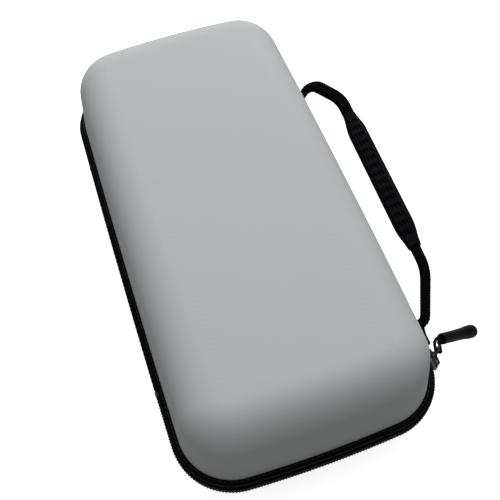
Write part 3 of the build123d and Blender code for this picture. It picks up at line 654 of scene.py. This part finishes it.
def moulded(name, dark, light, grain_mm, rough, strength=0.25, relief=0.04, **shader):
    """A moulded or coated surface: slight clouding, and the fine grain of its mould."""
    material, tree, surface = new_material(name, **shader)
    place = add(tree, "ShaderNodeTexCoord", out="Object")
    clouds = add(tree, "ShaderNodeTexNoise", {"Vector": place, "Scale": 90.0, "Detail": 3.0})
    grain = add(tree, "ShaderNodeTexNoise", {"Vector": place, "Scale": 1000.0 / grain_mm, "Detail": 2.0})
    pattern = add(tree, "ShaderNodeMix", {"Factor": 0.5, 2: clouds, 3: grain}, data_type="FLOAT")
    finish_surface(tree, surface, grain, pattern, dark, light, rough, strength, relief)
    return material


MATERIALS = {
    "shell_fabric": shell_laminate(),
    # brushed tricot: soft nap over a 1 mm knit (drawn 1.4 mm), almost no shine
    "lining_fabric": woven("brushed_tricot_lining", "#1C1C1F", "#2A2A2E", 1.4, 1.4, slant=45, wear=0.55,
                           rough=(1.0, 0.92), Sheen_Weight=0.35, Sheen_Roughness=0.6,
                           Specular_IOR_Level=0.2),
    # herringbone polyester tape: dull black with a cool sheen where it rolls over
    "tape_fabric": woven("woven_polyester_tape", "#060508", "#0D0B10", 0.8, 1.1, wear=0.25, relief=0.08,
                         rough=(0.85, 0.7), Sheen_Weight=0.02, Sheen_Tint=linear("#C9C0DA"),
                         Specular_IOR_Level=0.05),
    # extruded nylon filament: smooth, half gloss
    "coil_nylon": moulded("nylon_monofilament", "#070708", "#0D0D0F", 0.5, (0.5, 0.38), strength=0.05,
                          Specular_IOR_Level=0.08),
    # stoved enamel over die cast zinc: even black, softly glossy, dulled a little by handling
    "slider_enamel": moulded("black_enamel_on_zinc", "#0A0A0C", "#131315", 0.6, (0.42, 0.28), strength=0.08,
                             Specular_IOR_Level=0.12, Coat_Weight=0.06, Coat_Roughness=0.2),
    "stop_metal": moulded("enamelled_stops", "#121214", "#1E1E21", 0.5, (0.5, 0.4), strength=0.08),
    # three-strand polyester cord: 1.2 mm with a 1.2 mm lay
    "cord": woven("twisted_polyester_cord", "#0A0A0C", "#1A1A1D", 1.2, 1.2, slant=40, wear=0.15,
                  strength=0.9, relief=0.2, rough=(0.9, 0.75), Specular_IOR_Level=0.05),
    # soft moulded rubber: velvety black with a low broad highlight
    "pull_rubber": moulded("moulded_soft_rubber", "#050506", "#0A090B", 0.35, (0.62, 0.5),
                           Specular_IOR_Level=0.05),
    "grip_rubber": moulded("moulded_grip_rubber", "#060508", "#0C0A10", 0.4, (0.7, 0.58),
                           Specular_IOR_Level=0.04),
    # polypropylene webbing: coarse yarns, slightly waxy
    "webbing": woven("woven_webbing", "#030304", "#09090B", 0.75, 1.5, wear=0.2, strength=0.7, relief=0.15,
                     rough=(0.85, 0.7), Specular_IOR_Level=0.03),
    # velour flocked on EVA foam
    "insert_foam": moulded("velour_on_EVA_foam", "#17171A", "#232327", 0.9, (1.0, 0.94), strength=0.5,
                           relief=0.2, Sheen_Weight=0.4, Sheen_Roughness=0.6, Specular_IOR_Level=0.15),
    "net": moulded("polyester_net", "#111113", "#1C1C1F", 0.4, (0.85, 0.7), Specular_IOR_Level=0.3),
    # covered rubber knitted in fine ribs, 1.2 mm apart
    "elastic": woven("knitted_elastic", "#101012", "#1E1E22", 1.2, 0.9, wear=0.2, strength=0.8, relief=0.2,
                     rough=(0.9, 0.8), Specular_IOR_Level=0.25),
    # bonded nylon thread: round, with a little shine
    "thread": moulded("bonded_nylon_thread", "#141318", "#232128", 0.3, (0.6, 0.45)),
}


def dress(piece, slot):
    """Gives a piece its slot's finish."""
    piece.data.materials.clear()
    piece.data.materials.append(MATERIALS[slot])
    return piece


# ---------------------------------------------------------------- camera

def make_camera():
    """Looks down on the near left of the case, a little rolled."""
    azimuth, elevation, roll = (math.radians(a) for a in (-15.245, 59.664, -4.415))
    back = Vector((math.sin(azimuth) * math.cos(elevation), -math.cos(azimuth) * math.cos(elevation),
                   math.sin(elevation)))
    right = (-back).cross(Vector((0, 0, 1))).normalized()
    up = right.cross(-back)
    across = right * math.cos(roll) + up * math.sin(roll)
    above = up * math.cos(roll) - right * math.sin(roll)
    data = bpy.data.cameras.new("camera")
    data.lens = 36 * 721.51 / 500
    data.clip_start = 0.02
    camera = bpy.data.objects.new("camera", data)
    bpy.context.scene.collection.objects.link(camera)
    target = Vector((2.83, -13.95, 46.6)) * MM
    place = Matrix((across, above, back)).transposed().to_4x4()
    place.translation = target + back * 392.54 * MM
    camera.matrix_world = place
    bpy.context.scene.camera = camera


make_camera()

# ---------------------------------------------------------------- pieces

DOME, BAND, COIL, STITCHES = dome_tree(), section_tree(), coil_tree(), stitch_tree()
STRAP, GRIP, NET = strap_tree(), grip_tree(), net_tree()

RING = line_object(outline()[:-1], cyclic=True)


def shell(name, body, slot, depth, thickness, node):
    """One skin of the lid or the base, depth mm inside its outer surface."""
    lid = body == "lid"
    rim = LID_RIM_Z if lid else BASE_RIM_Z
    height = (LID_TOP_Z - LID_RIM_Z if lid else BASE_RIM_Z) - depth
    # the base is turned over, so its thickness grows the other way to stay inside
    piece = grown(name, DOME, body, thickness=thickness if lid else -thickness, Path=RING,
                  Wall_inset=(WALL_INSET + depth) * MM,
                  Height=height * MM, Draft=LID_DRAFT if lid else BASE_DRAFT,
                  Edge_radius=((LID_EDGE_R if lid else BASE_EDGE_R) - depth) * MM,
                  Crown=(LID_CROWN if lid else BASE_CROWN) * MM, Direction=1.0 if lid else -1.0,
                  Rim_height=rim * MM, Material=MATERIALS[slot])
    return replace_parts(piece, node)


shell("lid_cover", "lid", "shell_fabric", 0.0, WALL, "lid_shell")
shell("base_cover", "base", "shell_fabric", 0.0, WALL, "base_shell")
shell("lid_inner_cloth", "lid", "lining_fabric", WALL, LINING, "lid_lining")
shell("base_inner_cloth", "base", "lining_fabric", WALL, LINING, "base_lining")


def band(name, body, slot, path, section, corner_radius, node=None, sharp=50.0):
    """A strip swept along a path; its section is in (inset, z) millimetres."""
    piece = grown(name, BAND, body, sharp=sharp, Path=path, Corner_radius=corner_radius * MM,
                  Section=line_object([(x, -z) for x, z in section], cyclic=True),
                  Material=MATERIALS[slot])
    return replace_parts(piece, node) if node else piece


def about_middle(side, points):
    """Section points given as (inset, distance from the parting plane) on the lid's or base's side."""
    return [(x, MID_Z + side * d) for x, d in points]


def rectangle(x0, x1, z0, z1):
    return [(x0, z0), (x1, z0), (x1, z1), (x0, z1)]


LOOP = line_object(outline())
HALF_BAND = LID_RIM_Z - MID_Z
LEAF_NEAR = HALF_BAND - FLANGE_T - TAPE_T
TAPE_SECTION = ((WALL_INSET, HALF_BAND + 0.1), (WALL_INSET, HALF_BAND + TAPE_T),
                (FLANGE_INSET - TAPE_T, HALF_BAND + TAPE_T), (FLANGE_INSET - TAPE_T, LEAF_NEAR),
                (WALL_INSET + WALL - 0.4, LEAF_NEAR), (WALL_INSET + WALL - 0.4, LEAF_NEAR + TAPE_T),
                (FLANGE_INSET, LEAF_NEAR + TAPE_T), (FLANGE_INSET, HALF_BAND + 0.1))
FOR_SIDES = (("lid", 1), ("base", -1))

for side_name, side in FOR_SIDES:
    band(f"{side_name}_tape", side_name, "tape_fabric", LOOP, about_middle(side, TAPE_SECTION), 0.28,
         f"{side_name}_rim_tape")
    binding_near = HALF_BAND - FLANGE_T - 1.5
    binding = rectangle(WALL_INSET + WALL - 0.4, WALL_INSET + WALL + 1.4, binding_near, HALF_BAND - FLANGE_T)
    band(f"{side_name}_binding", side_name, "tape_fabric", LOOP, about_middle(side, binding), 0.6,
         f"{side_name}_inner_binding")
    chain_z = MID_Z + side * (CHAIN_GAP / 2 + COIL_H / 2)
    chain_path = line_object([(x, y, chain_z) for x, y in open_outline(COIL_INSET + COIL_DEPTH / 2,
                                                                        COIL_END_Y + 0.6)])
    chain = grown(f"{side_name}_coil", COIL, side_name, sharp=180.0, Path=chain_path,
                  Pitch=COIL_PITCH * MM, Depth=COIL_DEPTH * MM, Height=COIL_H * MM,
                  Filament_radius=COIL_WIRE_R * MM, Turn_shift=0.25 * (1 + side),
                  Material=MATERIALS["coil_nylon"])
    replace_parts(chain, f"{side_name}_zip_coil")
    # the filler cord that the coil is sewn round, which closes the view between its turns
    core = rectangle(-COIL_DEPTH / 2 + FILLER_INSET, COIL_DEPTH / 2 - 0.1,
                     chain_z - COIL_H / 2 + FILLER_INSET, chain_z + COIL_H / 2 - FILLER_INSET)
    core_path = line_object(open_outline(COIL_INSET + COIL_DEPTH / 2, COIL_END_Y + 0.6))
    band(f"{side_name}_coil_filler", side_name, "tape_fabric", core_path, core, 0.3)
    seam_z = MID_Z + side * (HALF_BAND + TAPE_T + 0.02)
    seam = line_object([(x, y, seam_z) for x, y in outline(WALL_INSET - 0.95)])
    row = grown(f"{side_name}_tape_stitches", STITCHES, side_name, sharp=180.0, Path=seam, Pitch=2.6 * MM,
                Stitch_length=2.1 * MM, Thread_radius=0.16 * MM, Material=MATERIALS["thread"])

# the hinge: one cloth strip sewn to both halves, straight across the parting line
spine_ys = [SPINE_HALF * (1 - i / 30) for i in range(61)]
spine_path = line_object([(-side_x(y, SPINE_INSET), y) for y in spine_ys][::-1])
SPINE_STEPS = 16
outer = [(0.0, SPINE_REACH * (2 * i / SPINE_STEPS - 1)) for i in range(SPINE_STEPS + 1)]
inner = [(SPINE_T, z) for _, z in reversed(outer)]
hinge = band("hinge_cloth", None, "tape_fabric", spine_path, [(x, MID_Z + z) for x, z in outer + inner], 0.0)
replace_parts(hinge, "lid_hinge_spine", "base_hinge_spine")
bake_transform(hinge)
for side_name, side in FOR_SIDES:
    seam_z = MID_Z + side * 4.2
    seam = line_object([(-side_x(y, SPINE_INSET - 0.02), y, seam_z)
                        for y in [70.5 * (1 - i / 30) for i in range(61)]])
    row = grown(f"{side_name}_hinge_stitches", STITCHES, side_name, sharp=180.0, Path=seam,
                Pitch=2.6 * MM, Stitch_length=2.1 * MM, Thread_radius=0.16 * MM,
                Material=MATERIALS["thread"])

# ---- handle
HANDLE = (Matrix.Translation(Vector(HANDLE_AXIS) * MM)
          @ Matrix.Rotation(math.radians(-HANDLE_TILT), 4, "Y"))
route = [(0.0, WEB_NEAR_Y, 0.0), *reversed(STRAP_CORNERS), (0.0, WEB_FAR_Y, 0.0)]
strap_path = line_object([(x, y) for x, y, _ in route], radii=[r for _, _, r in route])
strap = grown("handle_strap", STRAP, "handle", place=HANDLE, sharp=60.0, Path=strap_path,
              Width=STRAP_W * MM, Thickness=STRAP_T * MM, Rib_pitch=1.5 * MM, Rib_height=0.4 * MM,
              Near_spread=STRAP_NEAR_SPREAD, Far_spread=STRAP_FAR_SPREAD,
              Material=MATERIALS["webbing"])
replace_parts(strap, "handle_webbing")
grip_place = (HANDLE @ Matrix.Translation(Vector((*GRIP_AT, 0.0)) * MM)
              @ Matrix.Rotation(math.radians(-GRIP_TURN), 4, "Z"))
grip = grown("handle_rubber_grip", GRIP, "handle", sharp=60.0, place=grip_place, Half_length=GRIP_HALF * MM,
             Width=GRIP_W * MM, Thickness=GRIP_T * MM, End_width=GRIP_END_W * MM,
             End_thickness=GRIP_END_T * MM, Taper=GRIP_TAPER_L * MM, Row_pitch=GRIP_ROW_PITCH * MM,
             Rows=float(GRIP_ROWS), Column_pitch=GRIP_COLUMN_PITCH * MM, Columns=float(GRIP_COLUMNS),
             Shift=GRIP_SHIFT * MM, Pocket_across=DIMPLE[0] * MM, Pocket_along=DIMPLE[1] * MM,
             Pocket_depth=DIMPLE[2] * MM, Material=MATERIALS["grip_rubber"])
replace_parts(grip, "handle_grip")

for name, end_y in (("near", WEB_NEAR_Y), ("far", WEB_FAR_Y)):
    ys = [end_y + PATCH_L * (i / 12 - 0.5) for i in range(13)]
    patch_path = line_object([(side_x(y, WALL_INSET), y) for y in ys][::-1])
    z0 = LID_RIM_Z + TAPE_T
    lean = LID_DRAFT * PATCH_H
    section = [(-PATCH_T, z0), (-PATCH_T + lean * 0.9, z0 + PATCH_H - 0.4), (lean, z0 + PATCH_H),
               (0.4 + lean, z0 + PATCH_H - 1.0), (0.3, z0)]
    band(f"{name}_handle_patch", "lid", "webbing", patch_path, section, 0.35, f"handle_patch_{name}")

# ---- sliders, tabs, stops and pulls keep their CAD shape, which is right, and get their finish
for node, slot in (("near_slider_body", "slider_enamel"), ("near_slider_bridge", "slider_enamel"),
                   ("near_slider_tab", "slider_enamel"), ("far_slider_body", "slider_enamel"),
                   ("far_slider_bridge", "slider_enamel"), ("far_slider_tab", "slider_enamel"),
                   ("base_zip_stops", "stop_metal"), ("lid_zip_stops", "stop_metal"),
                   ("near_rubber_pull", "pull_rubber"), ("far_rubber_pull", "pull_rubber")):
    dress(frame["nodes"][node], slot)


def turned(point, azimuth):
    """A place in millimetres with its own x axis turned to an azimuth in degrees."""
    return Matrix.Translation(Vector(point) * MM) @ Matrix.Rotation(math.radians(azimuth), 4, "Z")


near_angle = math.asin((NEAR_SLIDER_Y + CORNER_Y) / CORNER_R)
near_out = CORNER_R + TAB_PIVOT
near_pivot = (CORNER_X + near_out * math.cos(near_angle), -CORNER_Y + near_out * math.sin(near_angle), MID_Z)
near_tab = turned(near_pivot, NEAR_TAB_AZIMUTH)
near_bar = near_tab @ Vector((NEAR_TAB_L * MM, 0, 0))
near_place = (turned(near_bar / MM, NEAR_PULL_AZIMUTH)
              @ Matrix.Rotation(math.radians(NEAR_PULL_DROOP), 4, "Y"))
far_tab = turned((side_x(FAR_SLIDER_Y) + TAB_PIVOT, FAR_SLIDER_Y, MID_Z), FAR_TAB_AZIMUTH)
far_arm = far_tab @ Vector((FAR_PULL_AT * MM, 0, -TAB_W / 2 * MM))
far_place = turned(far_arm / MM, FAR_TAB_AZIMUTH) @ Matrix.Rotation(math.radians(90), 4, "Y")


def doubled(middle, half_gap, closed_gap):
    """A cord laid back along itself: it starts at the bend, half_gap each side, and its legs draw in."""
    sides = []
    for sign in (1, -1):
        side = []
        for i, (x, y) in enumerate(middle):
            before, after = middle[max(i - 1, 0)], middle[min(i + 1, len(middle) - 1)]
            ahead = Vector((after[0] - before[0], after[1] - before[1])).normalized()
            gap = closed_gap if i > 1 else half_gap
            side.append((x - sign * ahead.y * gap, y + sign * ahead.x * gap))
        sides.append(side)
    (x0, y0), (x1, y1) = middle[:2]
    ahead = Vector((x1 - x0, y1 - y0)).normalized()
    tip = Vector((x0, y0)) - ahead * half_gap * 1.25
    shoulders = [tuple(tip + ahead * half_gap * 0.35 + sign * half_gap * Vector((-ahead.y, ahead.x)))
                 for sign in (1, -1)]
    return sides[0][::-1] + [shoulders[0], tuple(tip), shoulders[1]] + sides[1]


# the far cord runs straight down; the near one leaves its tab at a lean, then turns to its pull
lean = math.radians(NEAR_CORD_LEAN)
run = NEAR_CORD_RUN - NEAR_CORD_TURN_R * math.tan(lean / 2)
centre = (run * math.cos(lean) + NEAR_CORD_TURN_R * math.sin(lean),
          run * math.sin(lean) - NEAR_CORD_TURN_R * math.cos(lean))
turn = [(centre[0] - NEAR_CORD_TURN_R * math.sin(a), centre[1] + NEAR_CORD_TURN_R * math.cos(a))
        for a in [lean * (1 - i / 5) for i in range(6)]]
near_start = (-CORD_SLACK * math.cos(lean), -CORD_SLACK * math.sin(lean))
near_middle = [near_start, *turn, (turn[-1][0] + NEAR_CORD_LAST + 1.0, turn[-1][1])]
far_middle = [(-CORD_SLACK, 0.0), (1.2, 0.0), (2.8, 0.0), (PULL_ROOT + 0.6, 0.0)]
for name, place, radius, middle, half_gap in (("near", near_place, NEAR_CORD_R, near_middle, NEAR_CORD_BEND),
                                              ("far", far_place, CORD_R, far_middle, CORD_BEND)):
    loop = doubled(middle, half_gap, radius * LEG_GAP)
    cord_path = line_object([(x, y, 0) for x, y in loop], kind="NURBS")
    ring = [(radius * math.cos(a), radius * math.sin(a)) for a in [2 * math.pi * i / 12 for i in range(12)]]
    cord = grown(f"{name}_cord_loop", BAND, f"{name}_pull", place=place, sharp=180.0, Path=cord_path,
                 Section=line_object(ring, cyclic=True), Corner_radius=0.0, Material=MATERIALS["cord"])
    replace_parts(cord, f"{name}_pull_cord")

# ---- inside
def foam_insert():
    """The foam insert: both CAD slabs as one soft-edged block."""
    bm = bmesh.new()
    for node in ("insert_floor", "insert_frame"):
        bm.from_mesh(frame["nodes"][node].data)
    bmesh.ops.remove_doubles(bm, verts=bm.verts, dist=1e-5)
    mesh = bpy.data.meshes.new("foam")
    bm.to_mesh(mesh)
    bm.free()
    block = bpy.data.objects.new("foam", mesh)
    bpy.context.scene.collection.objects.link(block)
    cells = block.modifiers.new("cells", "REMESH")
    cells.mode = "VOXEL"
    cells.voxel_size = 1.4 * MM
    soft = block.modifiers.new("soft", "SMOOTH")
    soft.factor = 0.5
    soft.iterations = 4
    bpy.context.view_layer.update()
    depsgraph = bpy.context.evaluated_depsgraph_get()
    soft_mesh = bpy.data.meshes.new_from_object(block.evaluated_get(depsgraph), depsgraph=depsgraph)
    bpy.data.objects.remove(block)
    soft_mesh.shade_smooth()
    foam = bpy.data.objects.new("foam_insert", soft_mesh)
    bpy.context.scene.collection.objects.link(foam)
    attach(foam, "base")
    dress(foam, "insert_foam")
    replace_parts(foam, "insert_floor", "insert_frame")


foam_insert()


def inside_net(x, y, margin):
    """True where a point lies inside the pocket's plan, margin mm within the outline."""
    if abs(x) > CORNER_X and abs(y) > CORNER_Y:
        return math.hypot(abs(x) - CORNER_X, abs(y) - CORNER_Y) < CORNER_R - margin
    if abs(x) > CORNER_X:
        return abs(x) < side_x(min(abs(y), CORNER_Y), margin)
    return abs(y) < END_CY + math.sqrt((END_R - margin) ** 2 - x ** 2)


def net_guide():
    """A flat mesh of diamond cells inside the pocket's plan."""
    mesh, bm = bpy.data.meshes.new("guide"), bmesh.new()
    step = NET_CELL / math.sqrt(2)
    spots = {}
    for i in range(-36, 37):
        for j in range(-72, 73):
            x, y = i * step, j * step
            if (i + j) % 2 == 0 and x < NET_OPEN_X + 1.0 and inside_net(x, y, NET_MARGIN + 0.6):
                spots[i, j] = bm.verts.new((x * MM, y * MM, (NET_Z + NET_T / 2) * MM))
    for (i, j), spot in spots.items():
        for di, dj in ((1, 1), (1, -1)):
            if (i + di, j + dj) in spots:
                bm.edges.new((spot, spots[i + di, j + dj]))
    bm.to_mesh(mesh)
    bm.free()
    guide = bpy.data.objects.new("guide", mesh)
    bpy.context.scene.collection.objects.link(guide)
    return guide


guide = net_guide()
net = grown("pocket_mesh", NET, "lid", sharp=30.0, Guide=guide, Strand=NET_STRAND * MM,
            Material=MATERIALS["net"])
bpy.data.objects.remove(guide)
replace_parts(net, "pocket_net")

pocket_line = [p for p in outline(NET_MARGIN) if p[0] < NET_OPEN_X]
start = next(i for i, p in enumerate(pocket_line) if i and abs(p[1] - pocket_line[i - 1][1]) > 60)
pocket_line = pocket_line[start:] + pocket_line[1:start]
gusset = band("pocket_side_cloth", "lid", "lining_fabric", line_object(pocket_line),
              rectangle(0, GUSSET_T, NET_Z + NET_T - 0.2, GUSSET_TOP_Z), 0.3, "pocket_gusset")
edge_cloth = band("pocket_net_binding", "lid", "elastic", line_object(pocket_line),
                  rectangle(-0.2, 2.6, NET_Z - 0.3, NET_Z + NET_T + 0.3), 0.5)
elastic_half = END_CY + math.sqrt((END_R - NET_MARGIN - 2) ** 2 - NET_OPEN_X ** 2)
elastic_path = line_object([(NET_OPEN_X, elastic_half), (NET_OPEN_X, -elastic_half)][::-1])
elastic = band("pocket_elastic_edge", "lid", "elastic", elastic_path,
               rectangle(-3.0, 0.0, NET_Z - 1.0, NET_Z + NET_T + 1.0), 1.0, "pocket_elastic")

drop_lines()

# ---------------------------------------------------------------- floor, lamps and world

def make_floor():
    """A plain pale floor that takes the object's shadow and reads white to the eye."""
    mesh = bpy.data.meshes.new("floor")
    mesh.from_pydata([(-6, -6, 0), (6, -6, 0), (6, 6, 0), (-6, 6, 0)], [], [(0, 1, 2, 3)])
    floor = bpy.data.objects.new("floor", mesh)
    floor.location.z = -0.0002
    bpy.context.scene.collection.objects.link(floor)
    material = bpy.data.materials.new("studio_sweep")
    material.use_nodes = True
    tree = material.node_tree
    tree.nodes.clear()
    light_path = add(tree, "ShaderNodeLightPath", out=None)
    seen = add(tree, "ShaderNodeMath", {0: light_path.outputs["Is Camera Ray"],
                                        1: light_path.outputs["Is Glossy Ray"]}, operation="MAXIMUM")
    seen = add(tree, "ShaderNodeMath", {0: seen, 1: light_path.outputs["Is Transmission Ray"]},
               operation="MAXIMUM")
    dull = add(tree, "ShaderNodeBsdfDiffuse", {"Color": (0.42, 0.42, 0.42, 1)})
    pale = add(tree, "ShaderNodeBsdfDiffuse", {"Color": (0.9, 0.9, 0.9, 1)})
    glow = add(tree, "ShaderNodeEmission", {"Color": (1, 1, 1, 1), "Strength": 0.8})
    bright = add(tree, "ShaderNodeAddShader", {0: pale, 1: glow})
    mixed = add(tree, "ShaderNodeMixShader", {0: seen, 1: dull, 2: bright})
    add(tree, "ShaderNodeOutputMaterial", {"Surface": mixed}, out=None)
    mesh.materials.append(material)


def make_lamp(name, place, aim, size, power):
    """A square soft lamp turned towards a point."""
    data = bpy.data.lights.new(name, "AREA")
    data.shape = "SQUARE"
    data.size = size
    data.energy = power
    lamp = bpy.data.objects.new(name, data)
    bpy.context.scene.collection.objects.link(lamp)
    lamp.location = place
    lamp.rotation_euler = (Vector(aim) - Vector(place)).to_track_quat("-Z", "Y").to_euler()


def make_world():
    """Even pale surroundings, white where the camera looks straight at them."""
    world = bpy.data.worlds.new("studio")
    bpy.context.scene.world = world
    world.use_nodes = True
    tree = world.node_tree
    tree.nodes.clear()
    light_path = add(tree, "ShaderNodeLightPath", out=None)
    seen = add(tree, "ShaderNodeMath", {0: light_path.outputs["Is Camera Ray"],
                                        1: light_path.outputs["Is Transmission Ray"]}, operation="MAXIMUM")
    strength = add(tree, "ShaderNodeMapRange", {"Value": seen, "To Min": 0.23, "To Max": 1.0})
    sky = add(tree, "ShaderNodeBackground", {"Color": (1, 1, 1, 1), "Strength": strength})
    add(tree, "ShaderNodeOutputWorld", {"Surface": sky}, out=None)


make_floor()
make_lamp("key", (0.35, 1.0, 1.05), (0, 0.02, 0.06), 0.9, 16.0)
make_lamp("top", (0.1, 0.15, 1.6), (0, 0, 0.05), 1.0, 7.0)
make_world()
bpy.context.scene.view_settings.view_transform = "Standard"
